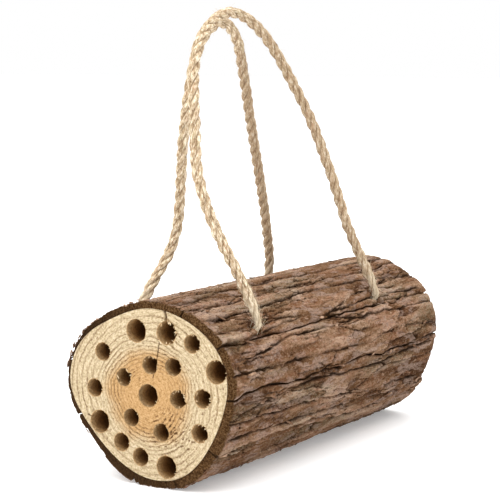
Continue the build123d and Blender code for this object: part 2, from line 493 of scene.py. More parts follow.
def plates(angles, along, width, length, seed):
    """Irregular plates, long along the log.

    Gives each point's distance from its plate's edge, two random numbers for its plate, and where
    it is in the plate, around and along.
    """
    count = round(2 * pi * bark_scale / width)
    spot = np.stack((angles / 360 * count, along / length), axis=1)
    base = np.floor(spot)
    offsets = [np.array(offset) for offset in product((-1, 0, 1), (-2, -1, 0, 1, 2))]

    def heart(offset):
        cell = base + offset
        wrapped = np.stack((cell[:, 0] % count, cell[:, 1]), axis=1)
        shift = np.stack([cell_random(wrapped, seed + k) for k in (0, 1)], axis=1)
        return cell + 0.5 + (shift - 0.5) * 0.85 - spot, wrapped

    nearest = np.full(len(spot), np.inf)
    towards = np.zeros_like(spot)
    owner = np.zeros_like(spot)
    for offset in offsets:
        toward, wrapped = heart(offset)
        distance = (toward**2).sum(axis=1)
        closer = distance < nearest
        nearest = np.where(closer, distance, nearest)
        towards = np.where(closer[:, None], toward, towards)
        owner = np.where(closer[:, None], wrapped, owner)
    edge = np.full(len(spot), np.inf)
    for offset in offsets:
        toward, _ = heart(offset)
        more = (toward**2).sum(axis=1) - nearest
        change = (toward - towards) / (width, length)
        reach = 2 * np.hypot(change[:, 0], change[:, 1])
        away = np.where(reach > 1e-9, more / np.maximum(reach, 1e-9), np.inf)
        edge = np.minimum(edge, away)
    return edge, cell_random(owner, seed + 2), cell_random(owner, seed + 3), -towards


def terraces(value, count, sharpness):
    """A smooth value turned into flat steps with steep risers, and where the risers are."""
    part = value * count - np.floor(value * count)
    rise = step(1 - sharpness, 1, part)
    return (np.floor(value * count) + rise) / count, rise * (1 - rise) * 4


def bark_look(angles, along):
    """The bark's relief in millimetres about the CAD surface, and the shares of its colours, which include
    painted light and shade.
    """
    around = 1.7 * bark_noise(angles, along, 17, 60, 1) + 0.8 * bark_noise(angles, along, 5, 14, 2)
    around += 0.45 * bark_noise(angles, along, 1.6, 4, 12)
    angle_moved = angles + np.degrees(around / bark_scale)
    along_moved = along + 10 * bark_noise(angles, along, 9, 40, 3) + 2 * bark_noise(angles, along, 2, 6, 13)
    edge, tone, tilt, at = plates(angle_moved, along_moved, 11.0, 140, 50)
    small_edge, small_tone, small_tilt, small_at = plates(angle_moved, along_moved, 4.6, 30, 60)
    worn = step(-0.2, 0.4, bark_noise(angles, along, 15, 40, 4))  # broken, crumbly stretches
    strength = np.clip(0.75 + 0.7 * bark_noise(angles, along, 11, 24, 5), 0, 1)

    layers, layer_edge = terraces(0.5 + 0.7 * bark_noise(angle_moved, along_moved, 5, 40, 14), 4, 0.13)
    flakes, flake_edge = terraces(0.5 + 0.8 * bark_noise(angle_moved, along, 2.3, 12, 15), 3, 0.2)
    chips = bark_noise(angles, along, 1.3, 3.4, 7)
    fibres = bark_noise(angle_moved, along, 0.85, 9, 6)
    fine = 0.9 * (layers - 0.5) + 0.65 * (flakes - 0.5) * (0.4 + 0.9 * worn)
    fine += 0.26 * fibres + (0.24 + 0.36 * worn) * chips + 0.14 * bark_noise(angles, along, 0.8, 2, 8)
    fine += (small_tone - 0.5) * 0.75 + (small_tilt - 0.5) * small_at[:, 0] * 1.0
    relief = 1.6 * (tone - 0.5) + (tilt - 0.5) * at[:, 0] * 1.7 + fine
    relief -= 2.2 * (1 - step(0.1, 1.2, edge)) * strength
    relief -= 0.6 * (1 - step(0.0, 0.6, small_edge)) * (0.3 + 0.7 * worn)
    # Painted shade: this mask darkens the bark's colour in the splits between plates, in the small splits,
    # and below the risers of its layers and flakes as drop shadows.
    groove_shade = (1 - step(0.1, 1.0, edge)) * strength
    groove_shade = np.maximum(groove_shade, 0.85 * (1 - step(0.0, 0.6, small_edge)) * (0.35 + 0.6 * worn))
    groove_shade = np.maximum(groove_shade, 0.5 * layer_edge * strength)
    groove_shade = np.maximum(groove_shade, 0.35 * flake_edge * worn)
    # Painted light: this colour value follows the relief, lighter on raised plates and flakes and darker on
    # low ones; the top of the log is lightened as if lit from above, and its far end is darkened as painted
    # shade. It is kept as the tone value.
    shade = 0.5 + 0.34 * (tone - 0.5) + 0.35 * fine + 0.25 * (small_tone - 0.5)
    shade += 0.1 * np.exp(-(((angles % 360 - 78) / 38) ** 2)) - 0.2 * step(110, 235, along)
    looks = {
        "groove_shade": groove_shade,
        "tone": np.clip(shade, 0, 1),
        "worn": worn,
        "mossy": step(0.1, 0.55, bark_noise(angles, along, 12, 60, 9)),
    }
    thickness = bark_radius(angles) - wood_radius(angles)
    return (relief - 0.7) * np.clip(thickness / full_thickness, 0.3, 1), looks


def fissure(number, along):
    """The angle of the split before a strip, which wanders along the log but keeps off rope holes."""
    wander = 2.0 * noise_along(along / 34 + number * 7.7, 70) + 0.7 * noise_along(along / 7, 71 + number)
    for angles, at in rope_holes:
        if abs(angles[0] - strip_starts[number]) < 20:
            wander = wander * step(7, 18, np.abs(along - at))
    return strip_starts[number] + np.degrees(wander / bark_scale)


def half_gap(number, along):
    """Half of the split's width, in degrees."""
    gap = 0.45 + 0.3 * noise_along(along / 11 + number * 3.1, 90)
    return np.degrees(np.maximum(gap, 0.12) / bark_scale)


def strip_start(name):
    """The angle where a CAD strip begins."""
    angles, _ = polar(node_points(name))
    centre = polar(node_points(name).mean(axis=0)[None])[0][0]
    return centre + ((angles - centre + 180) % 360 - 180).min()


strip_starts = [strip_start(name) for name in strip_names]


def find_rope_holes():
    """Each rope hole's angles at the bark's surface and under it, and its distance along the log."""
    found = []
    for rope in (right_rope, left_rope):
        for pivot in (rope.pivot, rope.rear_pivot):
            down = np.array([pivot + rope.inward * depth for depth in (0.0025, 0.007)]) * MM
            found.append((polar(down)[0], pivot[1] * MM - front))
    return found


rope_holes = find_rope_holes()
rope_hole_radius = 3.3
torn_radius = 5.5


def hole_outline(angle, at, radius, seed):
    """A ragged round outline on the unrolled bark."""
    turns = np.linspace(0, 2 * pi, 44, endpoint=False)
    wave = np.stack((np.cos(turns) * 1.6, np.sin(turns) * 1.6, np.full(44, seed * 1.3)), axis=1)
    size = radius * (1 + 0.16 * noise(wave, 80) + 0.07 * noise(wave * 3, 81))
    return np.stack((radians(angle) * bark_scale + np.cos(turns) * size, at + np.sin(turns) * size), axis=1)


def in_blocks(test, points):
    """A test's answers for many points, a few at a time to save memory."""
    blocks = [test(points[start : start + 2000]) for start in range(0, len(points), 2000)]
    return np.concatenate(blocks) if blocks else np.zeros(0, bool)


def away_from(points, loops, least):
    """Which points are at least this many spacings from every loop's points."""
    edge = np.concatenate(loops) / point_spacing

    def clear(some):
        gaps = some[:, None] / point_spacing - edge[None]
        return (gaps**2).sum(axis=-1).min(axis=1) > least**2

    return in_blocks(clear, points)


class Strip:
    """One strip of bark on the unrolled log: places are distances around and along it."""

    def __init__(self, number):
        self.number = number
        self.following = (number + 1) % len(strip_names)
        self.turn = 0 if self.following else 360
        low, high = (np.array(corner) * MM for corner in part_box(strip_names[number]))
        self.begin = min(low[1] - front, furthest_setback)
        self.end = high[1] - front
        first, last = strip_starts[number], strip_starts[self.following] + self.turn
        self.holes = [hole for hole in rope_holes if first < hole[0][0] < last]

    def left(self, along):
        """Where the strip's first side is, at each distance along the log."""
        return (fissure(self.number, along) + half_gap(self.number, along)) * pi / 180 * bark_scale

    def right(self, along):
        """Where its other side is."""
        split = fissure(self.following, along) + self.turn
        return (split - half_gap(self.following, along)) * pi / 180 * bark_scale

    def ragged_end(self, at, sign, seed):
        """The strip's edge across one end."""
        start, stop = (side(np.array([at]))[0] for side in (self.left, self.right))
        across = np.linspace(start, stop, round((stop - start) / point_spacing[0]))[1:-1]
        ragged = 0.25 * np.abs(noise_along(across / 2.2, seed + self.number))
        ragged += 1.4 * np.maximum(noise_along(across / 7, seed + 50 + self.number) - 0.35, 0)
        return np.stack((across, at + sign * ragged), axis=1)

    def loops(self, level, radius):
        """The strip's outline and the outlines of its rope holes, at its surface (0) or under it (1)."""
        along = np.linspace(self.begin, self.end, round((self.end - self.begin) / point_spacing[1]))
        left, right = (np.stack((side(along), along), axis=1) for side in (self.left, self.right))
        front_end = self.ragged_end(self.begin, 1, 100)
        rear_end = self.ragged_end(self.end, -1, 120)
        found = [np.concatenate((front_end, right, rear_end[::-1], left[::-1]))]
        for seed, (angles, at) in enumerate(self.holes):
            found.append(hole_outline(angles[level], at, radius, seed))
        return found

    def spots(self, spacing, loops, least):
        """Points within the strip, clear of its edge and its holes."""
        outline = loops[0]
        grid = spread(outline.min(axis=0), outline.max(axis=0), spacing)
        around, along = grid.T
        within = (around > self.left(along)) & (around < self.right(along))
        within &= (along > self.begin + 0.4) & (along < self.end - 0.4)
        grid = grid[within]
        grid = grid[in_blocks(lambda some: inside(some, outline), grid)]
        for loop in loops[1:]:
            grid = grid[~inside(grid, loop)]
        return grid[away_from(grid, loops, least)]

    def torn(self, angles, points):
        """How much the bark is broken away around the ropes."""
        found = np.zeros(len(points))
        for hole_angles, at in self.holes:
            gap = np.hypot(points[:, 0] - radians(hole_angles[0]) * bark_scale, points[:, 1] - at)
            gap += 1.2 * bark_noise(angles, points[:, 1], 3, 4, 83)
            found = np.maximum(found, 1 - step(rope_hole_radius, torn_radius, gap))
        return found

    def outer(self, points):
        """The outer face at these points, and its looks."""
        angles, along = np.degrees(points[:, 0] / bark_scale), points[:, 1]
        relief, looks = bark_look(angles, along)
        edge = np.minimum(points[:, 0] - self.left(along), self.right(along) - points[:, 0])
        outside, wood_at = bark_radius(angles), wood_radius(angles)
        share = np.clip((outside - wood_at) / full_thickness, 0.3, 1)
        relief -= 1.3 * share * np.exp(-((np.maximum(edge, 0) / 0.8) ** 2))
        relief -= 1.2 * share * np.exp(-(((self.end - along) / 4) ** 2))
        looks["torn"] = torn = self.torn(angles, points)
        looks["cut"] = np.zeros(len(points))
        calm = 0.65 * (1 - step(0, 11, self.end - along))
        relief = relief * (1 - calm) * (0.6 + 0.4 * step(0, 9, along)) - 0.9 * calm
        curl = step(85, 125, angles % 360) * (1 - step(235, 262, angles % 360))
        curl *= 1.5 - 1.9 * np.exp(-(((angles % 360 - 176) / 28) ** 2))
        relief += curl * np.exp(-((along / 6) ** 2))
        radii = outside + relief * (1 - 0.4 * torn) - 2.0 * torn
        radii = np.clip(radii, wood_at + 1.0, outside + highest_relief)
        floor = np.where(np.sin(np.radians(angles)) < -0.5, outside, 1e3)
        return place(angles, np.minimum(radii, floor), along), looks

    def walls(self, rim, top, bottom):
        """Rings of points down the strip's edges, broken and rough at its ends."""
        at_end = (np.abs(rim[:, 1] - self.begin) < 2.2) | (np.abs(rim[:, 1] - self.end) < 2.2)
        ridge = np.where(rim[:, 1] < log_length / 2, 1.0, -1.0) * at_end
        rings = []
        for share in np.arange(1, wall_steps) / wall_steps:
            ring = top * (1 - share) + bottom * share
            rough = noise(ring / (0.9, 0.9, 0.9), 130) * 0.28 + noise(ring / 2.5, 131) * 0.3
            ring[:, 1] += ridge * np.maximum(rough, -0.1)
            ring[:, [0, 2]] += ((1 - at_end) * rough * 0.4)[:, None]
            rings.append(ring)
        return rings


def make_strip(number):
    """One strip of bark, closed all round: its ridged outer face, ragged edges and inner face."""
    strip = Strip(number)
    top_loops = strip.loops(0, rope_hole_radius)
    bottom_loops = strip.loops(1, rope_hole_radius * 0.6)
    top_spots = strip.spots(point_spacing, top_loops, 0.6)
    bottom_spots = strip.spots(point_spacing * 5, bottom_loops, 1.2)
    rim = np.concatenate(top_loops)
    top_points, looks = strip.outer(np.concatenate((rim, top_spots)))
    inner = np.concatenate((*bottom_loops, bottom_spots))
    inner_angles = np.degrees(inner[:, 0] / bark_scale)
    bottom_points = place(inner_angles, wood_radius(inner_angles) + 0.06, inner[:, 1])
    wall_points = strip.walls(rim, top_points[: len(rim)], bottom_points[: len(rim)])

    top_faces = triangles(top_loops, top_spots, point_spacing)
    bottom_faces = triangles(bottom_loops, bottom_spots, point_spacing) + len(top_points)
    total = len(top_points) + len(bottom_points)
    starts = [0, *(total + k * len(rim) for k in range(wall_steps - 1)), len(top_points)]
    walls, first = [], 0
    for loop in top_loops:
        rings = [start + first + np.arange(len(loop)) for start in starts]
        walls += [ring_faces(a, b) for a, b in zip(rings[:-1], rings[1:])]
        first += len(loop)

    points = np.concatenate((top_points, bottom_points, *wall_points))
    count = len(points) - len(top_points)
    angles, radii = polar(points)
    # The cut walls are darker towards the log's left side; this share is kept in their torn value.
    shade = step(0.5, -0.5, np.cos(np.radians(angles[-count:] - 20)))
    for key, fill in (("groove_shade", 0.5), ("tone", 0.5), ("worn", 0.5), ("mossy", 0.5), ("cut", 1.0)):
        looks[key] = np.concatenate((looks[key], np.full(count, fill)))
    looks["torn"] = np.concatenate((looks["torn"], shade))
    grain = np.stack((np.radians(angles) * bark_scale, points[:, 1], radii), axis=1)
    faces = [top_faces, bottom_faces, np.concatenate(walls)]
    return build(f"bark_{number + 1:02d}", points, faces, looks, {"grain": grain})


bark = [make_strip(number) for number in range(len(strip_names))]

# ---------------------------------------------------------------- wood

# How torn the mouths of some holes are
raggedness = {
    "large_nest_03": 1.5, "large_nest_04": 0.5, "small_nest_01": 0.9, "small_nest_02": 0.8,
    "small_nest_03": 0.7, "small_nest_08": 1.4, "small_nest_09": 0.9, "small_nest_10": 0.6,
    "small_nest_11": 1.1,
}
opening_share = 0.7  # of a nest hole's width, taken up by the box that the record states in it
nests = []
for opening in frame["record"]["physics"]["openings"]:
    low, high = (np.array(corner) * MM for corner in opening["box_m"])
    at = (low[[0, 2]] + high[[0, 2]]) / 2 - middle
    nests.append({
        "at": at,
        "mouth": np.array((at[0] + middle[0], front, at[1] + middle[1])),
        "radius": (high[0] - low[0]) / 2 / opening_share,
        "depth": high[1] - front,
        "ragged": raggedness.get(opening["name"], 0.35),
    })
pith = nests[0]["at"]
face_spacing = np.array((0.5, 0.5))
wood_values = ("tear_and_crack_shade", "ring", "rough", "hole", "skin", "far", "around")
plug_points = 60
plug_levels = (-9.0, -0.6, 0.0, 0.3, 0.7, 1.2, 2.0, 3.5, 6.0, 10, 15, 20, 26)  # below a hole's mouth

# Drying cracks in the drilled end: points from the middle of the log, and how wide and deep
cracks = (
    (((11.5, 44.6), (12.6, 41.5), (12.0, 38.6), (13.2, 36.5)), 0.55, 3.0),
    (((8.2, 28.0), (7.4, 23.0), (6.3, 17.5), (4.9, 12.5), (4.2, 9.5)), 0.22, 1.6),
    (((-38.0, -15.0), (-34.8, -16.2), (-31.0, -15.6), (-27.5, -14.2)), 0.25, 1.2),
)


def ring_distance(points):
    """How far out each point lies in terms of the tree's rings, which follow its outline."""
    from_pith = points - pith
    angles = np.degrees(np.arctan2(from_pith[:, 1], from_pith[:, 0]))
    far = np.hypot(from_pith[:, 0], from_pith[:, 1])
    share = np.clip(far / wood_radius(angles), 0, 1.2)
    rounder = wood_radius(angles) * share + (46.5 - wood_radius(angles)) * share * (1 - share) * 1.4
    wave = np.stack((points[:, 0] / 19, points[:, 1] / 19, np.zeros(len(points))), axis=1)
    return rounder + 1.1 * noise(wave, 200) + 0.4 * noise(wave * 4, 201) + 0.25 * noise(wave * 11, 202)


def crack_depth(points):
    """How deep the drying cracks are at each point."""
    depth = np.zeros(len(points))
    for route, width, deep in cracks:
        route = np.array(route)
        for a, b in zip(route[:-1], route[1:]):
            share = np.clip(((points - a) @ (b - a)) / ((b - a) ** 2).sum(), 0, 1)
            gap = np.linalg.norm(points - a - share[:, None] * (b - a), axis=1)
            depth = np.maximum(depth, deep * np.exp(-((gap / width) ** 4)))
    return depth


def crack_spots():
    """Extra points along the cracks, so that their sides are steep."""
    found = []
    for route, width, _ in cracks:
        route = np.array(route)
        for a, b in zip(route[:-1], route[1:]):
            count = int(np.linalg.norm(b - a) / 0.22)
            along = a + np.linspace(0, 1, count, endpoint=False)[:, None] * (b - a)
            side = np.array((-(b - a)[1], (b - a)[0])) / np.linalg.norm(b - a)
            found += [along + side * width * share for share in (-1.5, -0.8, 0, 0.8, 1.5)]
    return np.concatenate(found)


def face_look(points, sign):
    """How far the saw left each point of an end below its plane, and the point's looks."""
    far = ring_distance(points)
    rings = np.interp(far, (0, 14, 31, 60), (0, 2.4, 10.4, 18.4))
    from_pith = points - pith
    turn = np.arctan2(from_pith[:, 1], from_pith[:, 0])
    around = turn * np.maximum(far, 3)
    flat = np.full(len(points), sign * 5.0)
    dashes = noise(np.stack((far / 0.75, around / 2.4, flat), axis=1), 210)
    fine = noise(np.stack((points[:, 0] / 0.9, points[:, 1] / 0.9, flat), axis=1), 211)
    region = np.exp(-(((points - (15, -17)) / (15, 11)) ** 2).sum(axis=1))
    patch = step(-0.1, 0.5, noise(np.stack((far / 9, turn * 1.4, flat), axis=1), 212))
    part = rings % 1
    line = np.exp(-(((part - 0.5) / 0.16) ** 2))
    rough = line * (0.5 + 0.5 * patch) * step(9, 19, far)
    rough = np.clip(rough * (0.75 + 0.8 * np.exp(-(((far - 23) / 5) ** 2))), 0, 1)
    torn = step(0.75 - 0.42 * region - 0.3 * rough, 1.0 - 0.35 * region - 0.3 * rough, dashes)
    depth = 0.05 + 0.05 * np.abs(fine) + 0.12 * rough + (0.2 + 0.7 * region) * torn
    return depth, {"tear_and_crack_shade": torn, "ring": rings, "rough": rough, "far": far, "around": around}


def end_points(positions, sign):
    """Points on the front (sign 1) or rear end, from positions about the middle, and their looks."""
    depth, looks = face_look(positions, sign)
    at = front + log_length - depth
    if sign > 0:
        crack = crack_depth(positions)
        at = front + depth + crack
        # Painted shade: the drying cracks get the dark colour of the saw tears.
        looks["tear_and_crack_shade"] = np.maximum(looks["tear_and_crack_shade"], step(0.2, 0.8, crack))
    points = np.stack((positions[:, 0] + middle[0], at, positions[:, 1] + middle[1]), axis=1)
    looks["hole"] = looks["skin"] = np.zeros(len(points))
    return points, looks


def plug_rings(seed, at, direction, radius, depth, ragged):
    """The rings of a rough round plug, from outside the wood down to its hole's bottom."""
    across = np.array((direction[1], -direction[0], 0))
    across /= np.linalg.norm(across)
    upwards = np.cross(across, direction)
    turns = np.linspace(0, 2 * pi, plug_points, endpoint=False)
    torn_side = 0.3 + 0.7 * step(-0.3, 0.8, np.cos(turns - 0.5))
    rings = []
    for down in [level for level in plug_levels if level <= depth] + [depth]:
        level = np.full(plug_points, down / 9 + seed * 3)
        wave = np.stack((np.cos(turns), np.sin(turns), level), axis=1)
        mouth = np.exp(-abs(down) / 0.9)
        broken = 0.75 * noise(wave * 2.6, 221) + 0.5 * noise(wave * 6, 222)
        size = radius + 0.06 * noise(wave * 4, 220)
        size += mouth * ragged * torn_side * broken
        size += 0.12 * mouth
        ring = at + direction * down + np.outer(np.cos(turns) * size, across)
        rings.append(ring + np.outer(np.sin(turns) * size, upwards))
    return rings


def make_cutter(holes, keys, fill):
    """Rough round plugs in one mesh, which cut holes, with the same value for each of the keys."""
    points, walls, caps, start = [], [], [], 0
    for seed, (at, direction, radius, depth, ragged) in enumerate(holes):
        rings = plug_rings(seed, at, direction, radius, depth, ragged)
        numbers = start + np.arange(len(rings) * plug_points).reshape(len(rings), plug_points)
        walls += [ring_faces(a, b) for a, b in zip(numbers[:-1], numbers[1:])]
        centres = numbers[-1, -1] + np.array((1, 2))
        for centre, ring in zip(centres, numbers[[0, -1]]):
            caps.append(np.stack((ring, np.roll(ring, -1), np.full(plug_points, centre)), axis=1))
        points += [*rings, np.array([at + direction * plug_levels[0], at + direction * depth])]
        start = centres[-1] + 1
    points = np.concatenate(points)
    values = {key: np.full(len(points), fill) for key in keys}
    return build("cutter", points, [np.concatenate(walls), np.concatenate(caps)], values)


def cut(piece, cutter):
    """Cuts one mesh with another, for good."""
    change = piece.modifiers.new("cut", "BOOLEAN")
    change.object = cutter
    change.operation = "DIFFERENCE"
    change.solver = "EXACT"
    bpy.context.view_layer.update()
    graph = bpy.context.evaluated_depsgraph_get()
    mesh = bpy.data.meshes.new_from_object(piece.evaluated_get(graph))
    piece.modifiers.remove(change)
    piece.data = mesh
    mesh.set_sharp_from_angle(angle=radians(48))


def mark_holes(mesh):
    """Records how deep in a nest hole each point of the wood is, from 0 outside to 1 well in, which sets
    the hole walls' colour and their painted shade.
    """
    flat = np.empty(len(mesh.vertices) * 3)
    mesh.vertices.foreach_get("co", flat)
    points = flat.reshape(-1, 3) * MM
    depth = points[:, 1] - front
    marks = np.zeros(len(points))
    for nest in nests:
        gap = np.hypot(*(points[:, [0, 2]] - middle - nest["at"]).T) - nest["radius"]
        within = (gap < 0.3 + nest["ragged"]) & (depth > 0.1) & (depth < nest["depth"] + 1)
        within &= (gap < 0.3) | (depth > 0.4)
        marks = np.where(within, 0.12 + 0.88 * step(0, 13, depth), marks)
    mesh.attributes["hole"].data.foreach_set("value", marks.astype(np.float32))


def wood_end(sign, spacing, edge):
    """One end of the wood: its points, their looks and its faces."""
    reach = np.abs(edge).max(axis=0)
    grid = spread(-reach, reach, spacing)
    if sign > 0:
        dense = crack_spots()
        clear = np.array([np.linalg.norm(dense - spot, axis=1).min() > 0.3 for spot in grid])
        grid = np.concatenate((grid[clear], dense))
    around = np.degrees(np.arctan2(grid[:, 1], grid[:, 0]))
    grid = grid[np.hypot(grid[:, 0], grid[:, 1]) < wood_radius(around) - 0.4]
    faces = triangles([edge], grid, face_spacing)
    points, looks = end_points(np.concatenate((edge, grid)), sign)
    return points, looks, faces


def wood_holes():
    """Each nest hole and rope hole: where it starts, its way in, radius, depth and raggedness."""
    found = []
    for nest in nests:
        found.append((nest["mouth"], np.array((0, 1.0, 0)), nest["radius"], nest["depth"], nest["ragged"]))
    for rope in (right_rope, left_rope):
        for pivot in (rope.pivot, rope.rear_pivot):
            found.append((np.array(pivot) * MM, np.array(rope.inward), 3.5, 30.0, 0.3))
    return found


def make_wood():
    """The wood: a sawn, drilled front end, a sawn rear end and the side that the bark covers."""
    angles = np.arange(0, 360, 360 / 400)
    edge = np.stack((np.cos(np.radians(angles)), np.sin(np.radians(angles))), axis=1)
    edge = edge * wood_radius(angles)[:, None]
    front_points, front_looks, front_faces = wood_end(1, face_spacing, edge)
    rear_points, rear_looks, rear_faces = wood_end(-1, face_spacing * 2, edge)
    rows = np.concatenate(([0.5, 1.5, 4, 8], np.linspace(14, log_length - 8, 24), [log_length - 2]))
    side = [place(angles, wood_radius(angles) - 0.02, np.full(len(angles), row)) for row in rows]
    both = len(front_points) + len(rear_points)
    starts = [0, *(both + k * len(angles) for k in range(len(rows))), len(front_points)]
    rings = [start + np.arange(len(angles)) for start in starts]
    walls = np.concatenate([ring_faces(a, b) for a, b in zip(rings[:-1], rings[1:])])
    points = np.concatenate((front_points, rear_points, *side))
    looks = {}
    for key in wood_values:
        fill = np.full(len(points) - both, 1.0 if key == "skin" else 0.0)
        looks[key] = np.concatenate((front_looks[key], rear_looks[key], fill))
    faces = [front_faces, rear_faces + len(front_points), walls]
    wood = build("wood", points, faces, looks)
    for piece, keys, fill in ((wood, wood_values, 0.0), (bark[0], bark_values, 0.5)):
        cutter = make_cutter(wood_holes(), keys, fill)
        cut(piece, cutter)
        bpy.data.objects.remove(cutter)
    mark_holes(wood.data)
    return wood


wood = make_wood()

# ---------------------------------------------------------------- splinters and loose bark


def sliver(root, tip, wide, thick, bend):
    """A closed, curved, pointed sliver from root to tip: its points and faces."""
    tip_way = tip - root
    side = np.cross(tip_way, thick)
    side = side / np.linalg.norm(side) * wide / 2
    points = []
    for share, size in ((0.0, 0.7), (0.3, 1.0), (0.65, 0.75), (0.9, 0.35)):
        centre = root + tip_way * share + thick * bend * share * share
        points += [centre - side * size, centre + side * size]
        points += [centre + side * size * 0.6 + thick, centre - side * size * 0.6 + thick]
    points.append(tip + thick * (bend + 0.5))
    faces = np.arange(16).reshape(4, 4)
    walls = np.concatenate([ring_faces(a, b) for a, b in zip(faces[:-1], faces[1:])])
    end = np.stack((faces[3], np.roll(faces[3], -1), np.full(4, 16)), axis=1)
    return np.array(points), np.concatenate((walls, faces[:1])), end


def gather(name, slivers):
    """One object from many slivers."""
    points, four, three = [], [], []
    for number, (spots, walls, end) in enumerate(slivers):
        points.append(spots)
        four.append(walls + number * 17)
        three.append(end + number * 17)
    return build(name, np.concatenate(points), [np.concatenate(four), np.concatenate(three)])


def make_splinters():
    """Slivers of wood left standing at the mouths of the nest holes."""
    draw = np.random.default_rng(21)
    found = []
    for nest in nests:
        for _ in range(round(3 + nest["ragged"] * 9)):
            turn = draw.normal(0.5, 1.3)
            out = np.array((cos(turn), 0, sin(turn)))
            root = nest["mouth"] + out * (nest["radius"] + 0.15) + (0, draw.uniform(0.3, 1.4), 0)
            reach = draw.uniform(0.4, 1.0) * (0.6 + nest["ragged"])
            beside = np.array((-out[2], 0, out[0])) * draw.normal(0, 0.5)
            tip = root + (beside - out) * reach + (0, draw.uniform(-0.5, 0.3), 0)
            found.append(sliver(root, tip, draw.uniform(0.3, 0.8), np.array((0, 0.22, 0)), -0.5))
    return gather("wood_splinters", found)


def make_flakes():
    """Loose shards of bark that lift from its surface and stand out at its front rim."""
    draw = np.random.default_rng(22)
    count, rim_count = 620, 60
    at_rim = np.arange(count) < rim_count
    angles = np.where(at_rim, draw.triangular(85, 118, 240, count), draw.uniform(-75, 255, count))
    along = np.where(at_rim, draw.uniform(0.4, 3.5, count), draw.uniform(6, log_length - 14, count))
    lengths = np.where(at_rim, draw.uniform(1.2, 4.5, count), draw.uniform(2.5, 9, count))
    ends = []
    for share in (0.0, 1.0):
        moved = np.where(at_rim, 0.3, draw.choice((-1, 1), count)) * lengths * share
        turned = angles + np.where(at_rim, 1.2, draw.normal(0, 0.2, count)) * lengths * share
        relief, _ = bark_look(turned, along + moved)
        lift = np.where(at_rim, draw.uniform(-0.1, 1.0, count), draw.uniform(0, 0.6, count)) * share
        radii = bark_radius(turned) + np.minimum(relief, 0.8) - 0.2 + lift + 1.0 * at_rim
        ends.append(place(turned, radii, along + moved))
    found = []
    for root, tip, angle in zip(*ends, np.radians(angles)):
        out = np.array((cos(angle), 0, sin(angle)))
        if min(root[2], tip[2]) > 1.0 and front < tip[1] < front + log_length - 8:
            found.append(sliver(root, tip, draw.uniform(0.6, 1.9), out * draw.uniform(0.25, 0.45), 0.3))
    return gather("bark_flakes", found)


splinters = make_splinters()
flakes = make_flakes()

# ---------------------------------------------------------------- materials


class Looks:
    """Short forms for making one material's nodes."""

    def __init__(self, name, roughness, specular=0.3):
        self.material = bpy.data.materials.new(name)
        self.material.use_nodes = True
        self.tree = self.material.node_tree
        self.shader = self.tree.nodes["Principled BSDF"]
        self.shader.inputs["Roughness"].default_value = roughness
        self.shader.inputs["Specular IOR Level"].default_value = specular

    def put(self, socket, value):
        if isinstance(value, bpy.types.NodeSocket):
            self.tree.links.new(value, socket)
        elif isinstance(value, tuple) and len(value) == 3 and socket.type == "RGBA":
            socket.default_value = (*value, 1)
        else:
            socket.default_value = value

    def value(self, name, output="Fac"):
        node = self.tree.nodes.new("ShaderNodeAttribute")
        node.attribute_name = name
        return node.outputs[output]

    def place(self):
        return self.tree.nodes.new("ShaderNodeTexCoord").outputs["Object"]

    def noise(self, vector, scale, detail=4.0, roughness=0.55):
        """Noise with one scale, or with one for each direction."""
        if isinstance(scale, tuple):
            mapping = self.tree.nodes.new("ShaderNodeMapping")
            self.put(mapping.inputs["Vector"], vector)
            mapping.inputs["Scale"].default_value = scale
            vector, scale = mapping.outputs["Vector"], 1.0
        node = self.tree.nodes.new("ShaderNodeTexNoise")
        self.put(node.inputs["Vector"], vector)
        for key, number in (("Scale", scale), ("Detail", detail), ("Roughness", roughness)):
            node.inputs[key].default_value = number
        return node.outputs["Fac"]

    def math(self, operation, *values):
        node = self.tree.nodes.new("ShaderNodeMath")
        node.operation = operation
        for socket, value in zip(node.inputs, values):
            self.put(socket, value)
        return node.outputs[0]

    def times(self, first, second):
        return self.math("MULTIPLY", first, second)

    def total(self, *parts):
        """The sum of some values, each times its weight."""
        result = 0.0
        for value, weight in parts:
            result = self.math("ADD", result, self.times(value, weight))
        return result

    def fit(self, value, low, high, to_low=0.0, to_high=1.0):
        """A value's smooth rise from one number to another between low and high."""
        node = self.tree.nodes.new("ShaderNodeMapRange")
        node.interpolation_type = "SMOOTHSTEP"
        for socket, number in zip(node.inputs, (value, low, high, to_low, to_high)):
            self.put(socket, number)
        return node.outputs[0]

    def ramp(self, value, *stops):
        node = self.tree.nodes.new("ShaderNodeValToRGB")
        self.put(node.inputs[0], value)
        while len(node.color_ramp.elements) < len(stops):
            node.color_ramp.elements.new(0.5)
        for element, (position, color) in zip(node.color_ramp.elements, stops):
            element.position = position
            element.color = (*color, 1)
        return node.outputs[0]

    def mix(self, share, first, second):
        node = self.tree.nodes.new("ShaderNodeMix")
        node.data_type = "RGBA"
        self.put(node.inputs["Factor"], share)
        self.put(node.inputs[6], first)
        self.put(node.inputs[7], second)
        return node.outputs[2]

    def color(self, value):
        self.put(self.shader.inputs["Base Color"], value)

    def bump(self, height, distance, strength=1.0):
        node = self.tree.nodes.new("ShaderNodeBump")
        self.put(node.inputs["Height"], height)
        node.inputs["Distance"].default_value = distance
        node.inputs["Strength"].default_value = strength
        self.put(self.shader.inputs["Normal"], node.outputs[0])

    def give(self, *pieces):
        for piece in pieces:
            piece.data.materials.clear()
            piece.data.materials.append(self.material)


